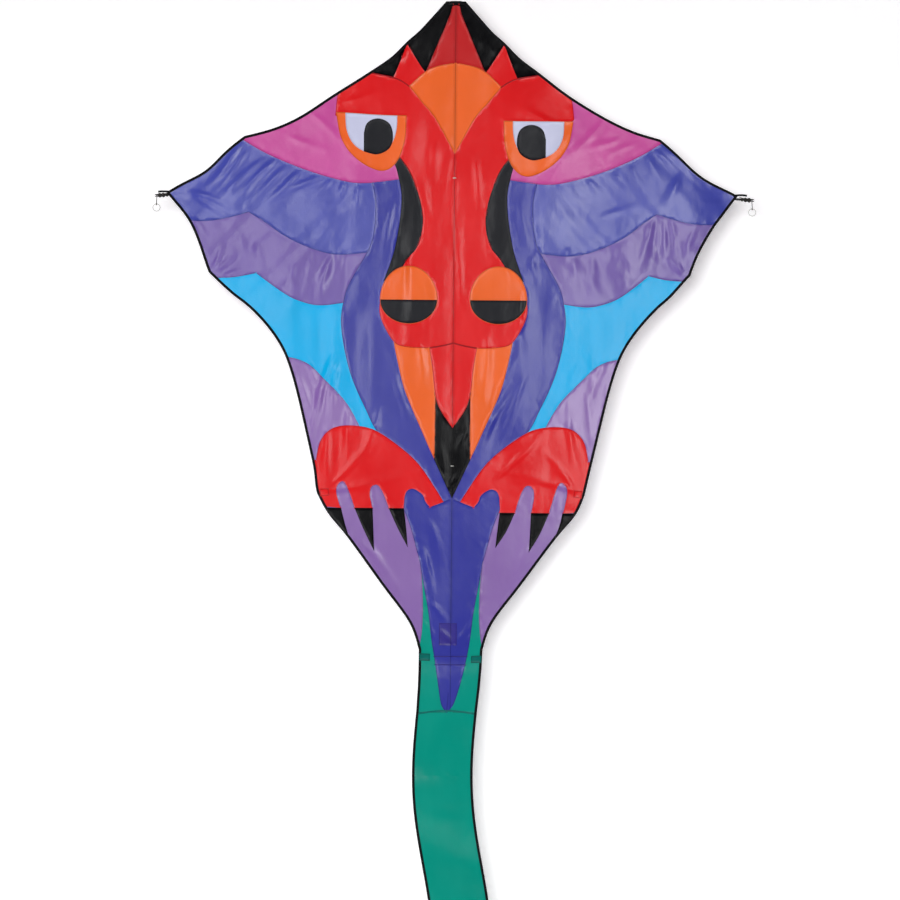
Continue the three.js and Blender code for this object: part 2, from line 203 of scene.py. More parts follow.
def outward_normals(loop):
    """At each point of an anticlockwise loop, the step outwards that moves both its edges by one."""
    ahead = np.roll(loop, -1, axis=0) - loop
    ahead /= np.maximum(np.linalg.norm(ahead, axis=1), 1e-9)[:, None]
    normal = np.stack([ahead[:, 1], -ahead[:, 0]], axis=1)
    both = normal + np.roll(normal, 1, axis=0)
    return 2 * both / np.maximum(np.sum(both * both, axis=1), 0.8)[:, None]


def widened(loop, gap):
    return loop + outward_normals(loop) * gap


def distance_to(points, loops, batch=2000):
    """Distance of each point from the nearest loop, and how far along that loop the nearest place is."""
    best = np.full(len(points), 1e9)
    along = np.zeros(len(points))
    for loop in loops:
        ab = np.roll(loop, -1, axis=0) - loop
        size = np.linalg.norm(ab, axis=1)
        start = np.concatenate([[0], np.cumsum(size)[:-1]])
        for first in range(0, len(points), batch):
            part = slice(first, first + batch)
            ap = points[part][:, None] - loop[None]
            t = np.clip(np.sum(ap * ab[None], axis=2) / np.maximum(size**2, 1e-12)[None], 0, 1)
            d = np.linalg.norm(ap - t[..., None] * ab[None], axis=2)
            k = np.argmin(d, axis=1)
            rows = np.arange(len(k))
            nearer = d[rows, k] < best[part]
            best[part][nearer] = d[rows, k][nearer]
            along[part][nearer] = (start[k] + t[rows, k] * size[k])[nearer]
    return best, along


def inside(points, loops):
    hits = np.zeros(len(points), int)
    for loop in loops:
        for a, b in zip(loop, np.roll(loop, -1, axis=0)):
            if a[1] != b[1]:
                crosses = (a[1] > points[:, 1]) != (b[1] > points[:, 1])
                x = a[0] + (points[:, 1] - a[1]) * (b[0] - a[0]) / (b[1] - a[1])
                hits += crosses & (points[:, 0] < x)
    return hits % 2 == 1


# ---- The shape of the cloth: folds and slack ----


def lattice(ix, iz, seed):
    value = np.sin(ix * 127.1 + iz * 311.7 + seed * 74.7) * 43758.5453
    return value - np.floor(value)


def noise(x, z, size_x, size_z, seed):
    """Smooth noise from -1 to 1 with cells of the given size."""
    u, v = x / size_x + seed * 13.7, z / size_z + seed * 7.3
    iu, iv = np.floor(u), np.floor(v)
    fu, fv = u - iu, v - iv
    fu, fv = fu * fu * (3 - 2 * fu), fv * fv * (3 - 2 * fv)
    low = lattice(iu, iv, seed) * (1 - fu) + lattice(iu + 1, iv, seed) * fu
    high = lattice(iu, iv + 1, seed) * (1 - fu) + lattice(iu + 1, iv + 1, seed) * fu
    return 2 * (low * (1 - fv) + high * fv) - 1


def window(value, low, high, soft):
    """One between low and high, fading to nothing outside over about the soft distance."""
    return 1 / (1 + np.exp(-(value - low) / soft)) / (1 + np.exp((value - high) / soft))


def near(value, centre, reach):
    """One at the centre, fading smoothly to nothing over about twice the reach."""
    return np.exp(-(((value - centre) / reach) ** 2))


# One fold each: [start x, start z, end x, end z, half width, height], in millimetres.
# They open out towards their end.
LEFT_WING_FOLDS = [
    [-548, 88, -656, -27, 9, 4.0], [-530, 86, -625, -40, 7, 3.0], [-500, 52, -593, -52, 8, 3.6],
    [-462, 43, -562, -63, 9, 5.0], [-432, 24, -520, -50, 6, 2.6], [-404, 14, -500, -66, 8, 4.0],
    [-357, 7, -451, -46, 7, 3.4], [-320, -6, -360, -50, 6, 2.4], [-283, -12, -310, -70, 7, 2.4],
    [-250, -16, -262, -90, 8, 2.0], [-700, -36, -577, -89, 8, 3.4], [-680, -60, -590, -105, 7, 2.6],
    [-750, -44, -640, -50, 5, 1.8], [-698, -112, -632, -215, 7, 2.6], [-680, -112, -640, -160, 5, 2.0],
    [-612, -245, -560, -200, 7, 3.0], [-618, -240, -600, -180, 5, 2.4], [-600, -258, -520, -240, 6, 2.0],
    [-325, -203, -350, -330, 9, 4.0], [-420, -225, -428, -320, 9, 1.4], [-380, -200, -395, -325, 8, 1.2],
    [-290, -190, -300, -320, 9, 1.6], [-520, -170, -500, -260, 11, 1.4], [-560, -140, -540, -250, 10, 1.4],
]
RIGHT_WING_FOLDS = [
    [540, 92, 700, -18, 7, 3.0], [545, 80, 660, -10, 7, 2.4], [530, 80, 590, 20, 9, 3.0],
    [590, 20, 556, -85, 11, 3.2], [510, 66, 540, -10, 10, 1.8], [386, -97, 507, -75, 9, 1.6],
    [411, 16, 458, -28, 7, 2.0], [350, 4, 385, -40, 8, 1.6], [740, -46, 640, -62, 6, 1.6],
    [460, 40, 500, -20, 7, 1.4], [533, -104, 475, -243, 11, 3.8], [545, -106, 520, -235, 7, 2.2],
    [554, -112, 549, -232, 8, 3.4], [570, -110, 590, -230, 8, 2.8], [612, -246, 560, -200, 7, 2.8],
    [606, -248, 590, -190, 5, 1.8], [370, -200, 358, -320, 11, 1.6], [320, -190, 330, -320, 11, 1.2],
    [430, -170, 405, -310, 12, 1.4], [300, -180, 292, -220, 6, 1.4], [640, -130, 612, -235, 9, 2.0],
]
HEAD_FOLDS = [
    [-60, 90, -78, -60, 16, 2.4], [-30, 60, -42, -240, 12, 1.2], [-78, -20, -70, -230, 12, 2.2],
    [20, 40, 22, -330, 8, 2.6], [62, 60, 58, -200, 12, 2.2], [-120, -200, -126, -370, 11, 2.4],
    [-88, -430, -80, -560, 12, 2.2], [88, -420, 78, -570, 12, 2.6], [-128, -120, -152, -400, 22, 3.4],
    [-160, -60, -180, -260, 10, 2.0], [178, -60, 205, -210, 12, 2.0], [230, -150, 190, -250, 8, 1.6],
    [205, -210, 225, -290, 8, 1.6], [250, -260, 225, -520, 20, 1.2], [190, -300, 170, -520, 12, 2.6],
    [170, -480, 60, -800, 12, 2.8], [140, -560, 50, -780, 8, 2.2], [200, -520, 120, -700, 9, 2.2],
    [-150, -520, -90, -680, 14, 2.2], [250, 150, 170, 190, 10, 2.6], [240, 130, 120, 160, 8, 2.0],
    [-290, 190, -190, 230, 9, 2.2], [-130, 330, -150, 280, 7, 2.0], [-60, 300, -40, 400, 9, 2.0],
    [-150, 310, -96, 376, 7, 1.3], [-84, 330, -52, 404, 6, 1.3], [104, 322, 62, 396, 7, 1.5],
    [64, 340, 42, 420, 6, 1.2], [-430, 110, -330, 60, 8, 1.6], [-380, 160, -270, 60, 9, 1.8],
    [-300, 120, -220, 20, 8, 1.4], [430, 110, 330, 70, 8, 1.6], [390, 150, 280, 50, 9, 1.8],
    [300, 130, 230, 20, 8, 1.4], [470, 92, 400, 60, 7, 1.2],
]
LOWER_FOLDS = [
    [-318, -470, -352, -640, 9, 5.0], [-352, -520, -366, -700, 7, 4.0], [-300, -490, -318, -620, 8, 3.6],
    [-385, -480, -352, -590, 7, 3.0], [-402, -520, -372, -660, 8, 2.6], [400, -470, 340, -600, 9, 1.6],
    [372, -460, 352, -640, 8, 1.4], [340, -480, 300, -560, 8, 1.2], [402, -520, 384, -680, 7, 1.4],
    [360, -560, 362, -720, 7, 1.2], [300, -580, 320, -700, 7, 1.0], [-262, -600, -300, -790, 13, 3.6],
    [-332, -660, -322, -800, 10, 3.0], [-200, -600, -235, -760, 10, 2.0], [-330, -832, -110, -765, 8, 1.3],
    [-330, -826, -180, -800, 5, 1.0], [-320, -815, -230, -700, 7, 1.6], [330, -832, 110, -765, 8, 1.3],
    [330, -826, 170, -795, 5, 1.0], [318, -815, 240, -720, 7, 2.2], [300, -640, 340, -780, 9, 1.8],
    [140, -780, 240, -650, 7, 2.2], [120, -800, 190, -700, 6, 2.0], [-75, -980, -48, -1130, 7, 3.4],
    [-52, -1120, -12, -1165, 6, 3.0], [-74, -1165, -46, -1215, 6, 3.0], [-30, -1190, 16, -1225, 5, 2.4],
    [18, -1215, 48, -1175, 5, 2.2], [-40, -1235, -5, -1262, 4, 1.8], [-40, -700, 0, -850, 8, 1.2],
    [45, -660, 5, -720, 6, 2.6], [20, -780, -30, -840, 6, 2.4], [-30, -620, 20, -660, 6, 2.0],
    [-230, -960, -150, -1080, 12, 2.4], [210, -960, 150, -1060, 10, 1.8], [-62, -900, -30, -1000, 9, 2.0],
]

# Where the cloth leans a little to the right (+) or left (-):
# [x, z, reach across, reach up, slope], in millimetres.
LEANS = [
    [-290, -60, 55, 60, -0.06], [-390, -80, 40, 40, -0.03], [-640, -40, 60, 40, -0.09],
    [-480, -160, 90, 90, -0.04], [-650, -190, 30, 60, -0.06], [-330, -270, 26, 60, 0.05],
    [-270, -240, 22, 60, -0.05], [-500, -370, 50, 50, -0.03], [-395, -400, 24, 80, 0.06],
    [-330, -450, 22, 90, -0.06], [-232, -440, 26, 120, -0.07], [-345, -760, 16, 60, -0.06],
    [-272, -730, 18, 60, -0.06], [-200, -760, 36, 60, 0.02], [330, -600, 55, 110, 0.035],
    [330, -740, 34, 60, 0.02], [240, -750, 34, 60, 0.04], [195, -260, 48, 150, 0.06],
    [-350, -120, 45, 40, -0.05], [195, -600, 36, 80, 0.05], [120, -700, 26, 70, 0.03],
    [330, -60, 80, 60, 0.04], [676, -45, 80, 60, 0.085], [715, -60, 36, 50, 0.04], [515, 5, 50, 45, 0.04],
    [430, 140, 60, 50, 0.03], [265, -590, 40, 80, 0.05], [-235, -310, 22, 40, 0.05],
    [430, -260, 26, 60, -0.09], [310, -290, 50, 100, 0.04], [590, -190, 40, 60, -0.05],
    [400, -400, 50, 60, 0.03], [-62, -1040, 12, 60, 0.08], [-190, -1000, 50, 80, -0.02],
    [-76, 0, 14, 130, 0.07], [-40, -50, 10, 80, 0.05], [-100, 90, 20, 60, 0.06], [22, -200, 8, 150, 0.08],
    [-126, -290, 12, 70, 0.09], [95, -520, 14, 90, 0.07], [275, 180, 90, 60, 0.05], [180, 60, 50, 60, 0.04],
    [-230, 180, 40, 40, -0.03], [-330, 80, 60, 50, -0.02], [330, 80, 70, 60, 0.04],
    [100, -60, 14, 60, 0.05], [-115, -130, 20, 90, 0.01], [-40, -350, 40, 200, -0.02],
    [-15, -1480, 50, 70, 0.06], [-20, -1640, 50, 60, -0.04], [-10, -1760, 50, 90, 0.03],
    [0, -1900, 60, 120, -0.05],
]

# Where the real sail's cloth has crept in its own plane: [x, z, reach, dx, dz], in millimetres.
CREEP = [
    [-640, -240, 130, -14, 0], [-560, 100, 130, -13, 0], [-748, -44, 90, -6, 0], [-352, -822, 40, -6, 0],
    [640, -230, 110, -9, 1], [660, 28, 80, -6, -12], [545, -90, 60, -4, 2], [-310, 215, 95, -2, 10],
    [-655, 25, 60, 4, -8], [748, -44, 50, -4, 4], [-124, 345, 38, 0, 6], [130, 345, 38, 0, 6],
]


def leaning_cloth(x, z):
    total = np.zeros_like(x)
    for cx, cz, reach_x, reach_z, slope in LEANS:
        u, v = (x / MM - cx) / reach_x, (z / MM - cz) / reach_z
        total -= slope * u * reach_x * MM * np.exp(-(u**2 + v**2) / 2)
    return total


def folds(x, z, table):
    total = np.zeros_like(x)
    for x0, z0, x1, z1, width, height in np.array(table, float) * MM:
        dx, dz = x1 - x0, z1 - z0
        length = math.hypot(dx, dz)
        along = ((x - x0) * dx + (z - z0) * dz) / length**2
        across = ((x - x0) * dz - (z - z0) * dx) / length
        bend = 0.05 * length * np.sin(along * 2.6 + 40 * x0)
        spread = width * (0.6 + 0.8 * np.clip(along, 0, 1.2))
        ramp = np.clip(along * 4 + 0.25, 0, 1) * np.clip((1.2 - along) * 1.1, 0, 1)
        total += height * 0.6 * ramp * near(across, bend, spread)
    return total


def sail_belly(x, z):
    """The sail's belly forwards, away from the spars, in metres: slack, soft bands and a fan in each wing."""
    span = np.abs(x)
    broad = 2.8 + 1.6 * noise(x, z, 0.15, 0.24, 3) + 0.8 * noise(x, z, 0.075, 0.11, 4)
    bands = 0.5 * (1 + noise(x, z, 0.045, 0.34, 1)) + 0.1 * (1 + noise(x, z, 0.019, 0.16, 2))
    fan = 0.8 * (1 + noise(span + 0.9 * z, z * 0.5, 0.032, 0.4, 5))
    fan *= window(span, 0.25, 0.74, 0.03) * window(z, -0.3, 0.1, 0.03)
    rise = (broad + bands + fan) * MM + leaning_cloth(x, z)
    for table in (LEFT_WING_FOLDS, RIGHT_WING_FOLDS, HEAD_FOLDS, LOWER_FOLDS):
        rise += folds(x, z, table)
    by_spine = 1 - 0.25 * near(x, 0, 0.020)
    by_batten = 1 - 0.7 * near(z, -1.266, 0.03)
    by_tip = 1 - near(span, 0.75, 0.04) * near(z, -0.044, 0.03)
    return rise * window(z, TAIL_SEAM, 1, 0.02) * by_spine * by_batten * by_tip


def tail_waves(x, z):
    """The ribbon's waves backwards and forwards, which grow below its seam, and the curl of its edges."""
    from_centre = (x - tail_centre(z)) / TAIL_HALF_WIDTH
    long_wave = 4.5 * np.sin((z - TAIL_SEAM) * 2 * np.pi / 0.62)
    short_wave = 2.2 * np.sin(z * 2 * np.pi / 0.23 + from_centre * 1.1)
    curl = 2.0 * from_centre**2 * np.sin(z * 2 * np.pi / 0.47 + 1)
    slack = 1.2 * noise(x, z, 0.06, 0.05, 6)
    return np.clip((TAIL_SEAM - z) / 0.25, 0, 1) * (long_wave + short_wave + curl + slack) * MM


def pucker(x, z, edge):
    """Fine gathers where the thread pulls the cloth together, in metres."""
    return 0.45 * MM * noise(x, z, 0.013, 0.017, 8) * np.exp(-edge / (13 * MM))


def crept(points):
    moved = np.array(points, float)
    for x, z, reach, dx, dz in np.array(CREEP, float) * MM:
        share = near(points[:, 0], x, reach) * near(points[:, 1], z, reach)
        moved += share[:, None] * (dx, dz)
    return moved


def on_sail(flat, layer):
    """Where points of the flat pattern lie in space, that many layers in front of the lowest cloth."""
    x, z = flat[:, 0], flat[:, 1]
    place = crept(flat)
    y = tail_waves(x, z) - sail_belly(x, z) - layer * LAYER_STEP
    return np.stack([place[:, 0], y, place[:, 1]], axis=1)


# ---- Building meshes ----


def mesh_object(name, vertices, faces, material, smooth=True):
    mesh = bpy.data.meshes.new(name)
    mesh.from_pydata([tuple(v) for v in vertices], [], [tuple(f) for f in faces])
    mesh.validate()
    if smooth:
        mesh.shade_smooth()
    mesh.materials.append(material)
    piece = bpy.data.objects.new(name, mesh)
    bpy.context.collection.objects.link(piece)
    return piece


def face_outwards(piece):
    mesh = bmesh.new()
    mesh.from_mesh(piece.data)
    bmesh.ops.recalc_face_normals(mesh, faces=mesh.faces)
    mesh.to_mesh(piece.data)
    mesh.free()


def sharpen(piece, angle=math.radians(40)):
    """Keeps sharp edges sharp under smooth shading."""
    mesh = bmesh.new()
    mesh.from_mesh(piece.data)
    for e in mesh.edges:
        if len(e.link_faces) == 2 and e.calc_face_angle(0) > angle:
            e.smooth = False
    mesh.to_mesh(piece.data)
    mesh.free()


def store(piece, name, values):
    attribute = piece.data.attributes.new(name, "FLOAT", "POINT")
    attribute.data.foreach_set("value", np.asarray(values, np.float32))


def store_cloth_map(piece, flat):
    """A UV map in metres along the cloth, so the weave stays with it when it moves."""
    layer = piece.data.uv_layers.new(name="cloth")
    corner = np.zeros(len(piece.data.loops), int)
    piece.data.loops.foreach_get("vertex_index", corner)
    layer.data.foreach_set("uv", np.asarray(flat)[corner].astype(np.float32).ravel())


def cloth_points(dense, hem):
    """The points of the edges, two rows of them inside the hem, and a triangular grid between."""
    edges = np.concatenate(dense)
    insets = (hem, hem * HEM_SLOPE)
    rows = [loop - outward_normals(loop) * inset for loop in dense for inset in insets]
    wanted = np.concatenate([np.full(len(row), insets[i % 2]) for i, row in enumerate(rows)])
    rows = np.concatenate(rows)
    gap, _ = distance_to(rows, dense)
    rows = rows[(gap > wanted * 0.85) & inside(rows, dense)]
    low, high = edges.min(axis=0), edges.max(axis=0)
    grid_x = np.arange(math.floor(low[0] / GRID_STEP), high[0] / GRID_STEP + 1) * GRID_STEP
    grid_z = np.arange(math.floor(low[1] / GRID_ROW), high[1] / GRID_ROW + 1) * GRID_ROW
    gx, gz = np.meshgrid(grid_x, grid_z)
    gx = gx + (np.round(gz / GRID_ROW).astype(int) % 2) * GRID_STEP / 2
    grid = np.stack([gx.ravel(), gz.ravel()], axis=1)
    gap, _ = distance_to(grid, dense)
    grid = grid[(gap > hem * HEM_SLOPE + GRID_STEP * 0.35) & inside(grid, dense)]
    return np.concatenate([edges, rows, grid])


def triangulated(points, dense):
    """Anticlockwise triangles over the cloth between the loops, after the points that they use."""
    constraint, first = [], 0
    for loop in dense:
        n = len(loop)
        constraint += [(first + i, first + (i + 1) % n) for i in range(n)]
        first += n
    result = delaunay_2d_cdt([Vector(p) for p in points], constraint, [], 0, 1e-7)
    flat = np.array([tuple(v) for v in result[0]])
    faces = np.array([f for f in result[2] if len(f) == 3])
    faces = faces[inside(flat[faces].mean(axis=1), dense)]
    a, b, c = flat[faces[:, 0]], flat[faces[:, 1]], flat[faces[:, 2]]
    cross = (b[:, 0] - a[:, 0]) * (c[:, 1] - a[:, 1]) - (b[:, 1] - a[:, 1]) * (c[:, 0] - a[:, 0])
    faces[cross < 0] = faces[cross < 0][:, ::-1]
    faces = faces[np.abs(cross) > 1e-12]
    used, faces = np.unique(faces, return_inverse=True)
    return flat[used], faces.reshape(-1, 3)


def open_edges(faces):
    """The edges that only one triangle has."""
    edges = {}
    for face in faces.tolist():
        for a, b in zip(face, [*face[1:], face[0]]):
            if (b, a) in edges:
                del edges[(b, a)]
            else:
                edges[(a, b)] = True
    return list(edges)


def cloth_mesh(name, loops, material, layer=0, extra=0.0, hem=HEM, sewn=True, gathered=True):
    """A thin closed piece of cloth inside the loops. If sewn, it is thicker along its edge."""
    dense = [smooth_loop(loop, EDGE_STEP) for loop in loops]
    flat, faces = triangulated(cloth_points(dense, hem), dense)
    n = len(flat)
    edge, along = distance_to(flat, dense)
    far_from_edge = 1.0
    edge = np.where(np.abs(flat[:, 0]) < hem * 1.6, far_from_edge, edge)
    half = np.where((edge < hem * 1.1) & sewn, HEM_HALF_THICKNESS, CLOTH_HALF_THICKNESS) + extra
    middle = on_sail(flat, layer)
    middle[:, 1] += gathered * pucker(flat[:, 0], flat[:, 1], edge)
    out = half[:, None] * (0, 1, 0)
    all_faces = [tuple(f) for f in faces] + [tuple(f[::-1] + n) for f in faces]
    all_faces += [(b, a, a + n, b + n) for a, b in open_edges(faces)]
    piece = mesh_object(name, np.concatenate([middle - out, middle + out]), all_faces, material)
    sharpen(piece)
    store(piece, "edge", np.tile(edge, 2) if sewn else np.full(2 * n, far_from_edge))
    store(piece, "along", np.tile(along, 2))
    store_cloth_map(piece, np.tile(flat, (2, 1)))
    area = sum(signed_area(loop) for loop in dense)
    width, length = np.ptp(np.concatenate(dense), axis=0)
    width = min(width, area / (0.34 * length))  # of a slanting piece only its own width, not its box's
    return piece


def node_loops(node):
    """A flat CAD panel's closed loops in its plane: anticlockwise outside, clockwise round a hole."""
    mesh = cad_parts[node].data
    place = np.array([v.co for v in mesh.vertices])
    mesh.calc_loop_triangles()
    keys, links = {}, {}
    points = []

    def number(i):
        key = (round(place[i][0], 6), round(place[i][2], 6))
        if key not in keys:
            keys[key] = len(points)
            points.append(key)
        return keys[key]

    for triangle in mesh.loop_triangles:
        corners = list(triangle.vertices)
        on_face = all(place[i][1] < -0.3 * MM for i in corners)
        if not on_face:
            continue
        ids = [number(i) for i in corners]
        for a, b in zip(ids, ids[1:] + ids[:1]):
            if a in links.get(b, ()):
                links[b].remove(a)
            else:
                links.setdefault(a, []).append(b)
    loops = []
    while any(links.values()):
        start = next(a for a in links if links[a])
        loop, here = [start], links[start].pop()
        while here != start:
            loop.append(here)
            here = links[here].pop()
        loops.append(np.array([points[i] for i in loop]))
    loops.sort(key=lambda loop: -abs(signed_area(loop)))
    if signed_area(loops[0]) < 0:
        loops = [loop[::-1] for loop in loops]
    return [without_near_points(loop) for loop in loops]


def without_near_points(loop, least=0.5 * MM):
    keep = [loop[0]]
    for point in loop[1:]:
        if np.linalg.norm(point - keep[-1]) > least:
            keep.append(point)
    return np.array(keep)


def tube(name, rows, material, closed=False):
    """A skin over rows of points that each go once round the piece."""
    n, m = len(rows), len(rows[0])
    faces = []
    for i in range(n if closed else n - 1):
        j = (i + 1) % n
        faces += [(i * m + k, i * m + (k + 1) % m, j * m + (k + 1) % m, j * m + k) for k in range(m)]
    if not closed:
        faces += [tuple(range(m))[::-1], tuple(range((n - 1) * m, n * m))]
    piece = mesh_object(name, np.reshape(rows, (-1, 3)), faces, material)
    face_outwards(piece)
    return piece


def sweep(name, path, section, material, closed=False, up=(0.0, 1.0, 0.0)):
    """A tube of the given section, [across, up] points, along a path. Its up keeps near the one given."""
    path = np.array(path, float)
    ahead = np.roll(path, -1, axis=0) - np.roll(path, 1, axis=0) if closed else np.gradient(path, axis=0)
    ahead /= np.linalg.norm(ahead, axis=1)[:, None]
    rows = []
    for place, direction in zip(path, ahead):
        across = np.cross(direction, up)
        across /= np.linalg.norm(across)
        lift = np.cross(across, direction)
        rows.append([place + across * s + lift * t for s, t in section])
    return tube(name, rows, material, closed)


def ring_section(radius, sides):
    angles = [2 * math.pi * k / sides for k in range(sides)]
    return [(radius * math.cos(a), radius * math.sin(a)) for a in angles]


def turned(name, profile, start, axis, material, sides=32):
    """A lathed piece: profile is [distance along the axis, radius] from start."""
    axis = Vector(axis).normalized()
    side = axis.orthogonal().normalized()
    other = axis.cross(side)
    vertices, faces, rings = [], [], []
    for along, radius in profile:
        centre = Vector(start) + axis * along
        if radius == 0:
            rings.append([len(vertices)] * sides)
            vertices.append(centre)
        else:
            rings.append(list(range(len(vertices), len(vertices) + sides)))
            vertices += [centre + side * s + other * t for s, t in ring_section(radius, sides)]
    for low, high in zip(rings, rings[1:]):
        for k in range(sides):
            quad = [low[k], low[(k + 1) % sides], high[(k + 1) % sides], high[k]]
            face = list(dict.fromkeys(quad))
            if len(face) > 2:
                faces.append(face)
    piece = mesh_object(name, vertices, faces, material)
    face_outwards(piece)
    sharpen(piece)
    return piece


# ---- Materials ----


def linear(*rgb):
    values = [c / 255 for c in rgb]
    return [c / 12.92 if c <= 0.04045 else ((c + 0.055) / 1.055) ** 2.4 for c in values] + [1.0]


def shade(colour, amount):
    return [c * amount for c in colour[:3]] + [1.0]


class Nodes:
    """A small helper for writing node trees."""

    def __init__(self, name):
        self.material = bpy.data.materials.new(name)
        self.material.use_nodes = True
        self.tree = self.material.node_tree
        self.shader = self.tree.nodes["Principled BSDF"]

    def add(self, kind, inputs=(), **settings):
        node = self.tree.nodes.new(kind)
        for key, value in settings.items():
            setattr(node, key, value)
        for key, value in dict(inputs).items():
            self.put(node.inputs[key], value)
        return node

    def put(self, socket, value):
        if isinstance(value, bpy.types.NodeSocket):
            self.tree.links.new(value, socket)
        else:
            socket.default_value = value

    def surface(self, colour, roughness, normal=None, specular=0.5):
        self.put(self.shader.inputs["Base Color"], colour)
        self.put(self.shader.inputs["Roughness"], roughness)
        self.put(self.shader.inputs["Specular IOR Level"], specular)
        if normal is not None:
            self.put(self.shader.inputs["Normal"], normal)
        return self.material

    def where(self):
        return self.add("ShaderNodeTexCoord").outputs["Object"]

    def stored(self, name):
        return self.add("ShaderNodeAttribute", attribute_name=name).outputs["Fac"]

    def math(self, operation, a, b=0.0, c=0.0):
        return self.add("ShaderNodeMath", {0: a, 1: b, 2: c}, operation=operation).outputs[0]

    def mix(self, factor, a, b):
        return self.add("ShaderNodeMix", {0: factor, 6: a, 7: b}, data_type="RGBA").outputs[2]

    def steps(self, value, low, high):
        node = self.add("ShaderNodeMapRange", {"Value": value, "From Min": low, "From Max": high},
                        interpolation_type="SMOOTHSTEP")
        return node.outputs[0]

    def band(self, value, inner, outer):
        """One where the value is within inner of nought, nothing past outer."""
        return self.math("SUBTRACT", 1.0, self.steps(self.math("ABSOLUTE", value), inner, outer))

    def noise(self, vector, scale, detail=3.0, roughness=0.5):
        node = self.add("ShaderNodeTexNoise",
                        {"Vector": vector, "Scale": scale, "Detail": detail, "Roughness": roughness})
        return node.outputs["Fac"]

    def stretched(self, vector, scale):
        return self.add("ShaderNodeMapping", {"Vector": vector, "Scale": scale}).outputs[0]

    def bump(self, height, distance, normal=None):
        node = self.add("ShaderNodeBump", {"Height": height, "Distance": distance, "Strength": 1.0})
        if normal is not None:
            self.put(node.inputs["Normal"], normal)
        return node.outputs[0]


def cloth_material(name, colour, painted_sheen=0.003, roughness=0.22, hem_shade=0.66, specular=0.5):
    """Coated ripstop: a fine grid of thicker threads, soft crinkles, and a doubled, stitched edge."""
    n = Nodes(name)
    base = shade(linear(*colour), 0.93)
    uv = n.add("ShaderNodeUVMap", uv_map="cloth").outputs[0]
    across, up = n.add("ShaderNodeSeparateXYZ", {"Vector": uv}).outputs[:2]
    edge = n.stored("edge")

    # Cloudy and streaky changes of colour, whose paler patches carry a painted sheen of white mixed into the
    # cloth's colour, and the grid of the weave.
    cloudy = n.noise(n.stretched(uv, (7, 5, 1)), 1.0)
    streaky = n.noise(n.stretched(uv, (30, 7, 1)), 1.0)
    tone = n.math("ADD", n.math("MULTIPLY", cloudy, 0.7), n.math("MULTIPLY", streaky, 0.3))
    # The paler colour is the cloth's own with white mixed in: painted sheen.
    pale_with_sheen = [c + (1 - c) * painted_sheen for c in base[:3]] + [1.0]
    deep = shade(base, 0.93)
    result = n.mix(n.steps(tone, 0.34, 0.70), deep, pale_with_sheen)
    threads = [n.band(n.math("PINGPONG", way, 2.5 * MM), 0.10 * MM, 0.45 * MM) for way in (across, up)]
    grid = n.math("MAXIMUM", *threads)
    result = n.mix(n.math("MULTIPLY", grid, 0.10), result, deep)

    # The spine and its sleeve show through as a darker band, and the halves' join as a line.
    over_spine = n.math("MULTIPLY", n.band(across, 3 * MM, 8 * MM), n.steps(up, -1.18, -1.16))
    result = n.mix(n.math("MULTIPLY", over_spine, 0.5), result, shade(base, 0.7))
    join = n.math("MULTIPLY", n.band(across, 0.7 * MM, 1.5 * MM), n.steps(up, -1.41, -1.40))
    result = n.mix(n.math("MULTIPLY", join, 0.8), result, shade(base, 0.45))

    # The doubled cloth along a seam is darker, with a row of stitches in it.
    hem = n.band(edge, HEM * 0.9, HEM * 1.12)
    result = n.mix(n.math("MULTIPLY", hem, 0.85), result, shade(base, hem_shade))
    dash = n.math("GREATER_THAN", n.math("FRACT", n.math("DIVIDE", n.stored("along"), 3.2 * MM)), 0.28)
    row = n.band(n.math("SUBTRACT", edge, 1.5 * MM), 0.18 * MM, 0.34 * MM)
    stitch = n.math("MULTIPLY", dash, row)
    result = n.mix(n.math("MULTIPLY", stitch, 0.8), result, shade(base, 0.40))

    rough = n.math("MULTIPLY_ADD", cloudy, 0.16, roughness - 0.08)
    crinkle = n.bump(n.noise(n.stretched(uv, (44, 26, 1)), 1.0, 2.0), 0.4 * MM)
    normal = n.bump(n.math("MULTIPLY_ADD", stitch, 1.6, grid), 0.02 * MM, crinkle)
    return n.surface(result, rough, normal, specular)


def tape_material(name, colour):
    """Woven edge tape with a fine cross rib."""
    n = Nodes(name)
    base = linear(*colour)
    weave = n.noise(n.stretched(n.where(), (900, 900, 900)), 1.0, 2.0)
    return n.surface(n.mix(weave, shade(base, 0.7), shade(base, 1.5)), 0.75, n.bump(weave, 0.15 * MM), 0.2)


def plastic_material(name, colour, roughness):
    """Moulded plastic with a faint grain and scuffs."""
    n = Nodes(name)
    base = linear(*colour)
    where = n.where()
    scuffs = n.noise(where, 45, 4.0)
    rough = n.math("MULTIPLY_ADD", scuffs, 0.2, roughness - 0.1)
    grain = n.bump(n.noise(where, 700), 0.03 * MM)
    return n.surface(n.mix(scuffs, shade(base, 0.8), shade(base, 1.25)), rough, grain)


def rod_material(name, colour):
    """Pultruded rod: fine lengthwise fibre streaks under a satin skin."""
    n = Nodes(name)
    base = linear(*colour)
    streak = n.noise(n.stretched(n.where(), (500, 500, 9)), 1.0)
    rough = n.math("MULTIPLY_ADD", streak, 0.2, 0.26)
    return n.surface(n.mix(streak, shade(base, 0.7), shade(base, 1.7)), rough, n.bump(streak, 0.03 * MM))


def line_material(name, colour):
    """Braided line."""
    n = Nodes(name)
    base = linear(*colour)
    braid = n.add("ShaderNodeTexVoronoi", {"Vector": n.where(), "Scale": 1100.0}).outputs["Distance"]
    return n.surface(n.mix(braid, shade(base, 1.3), shade(base, 0.5)), 0.75, n.bump(braid, 0.2 * MM))


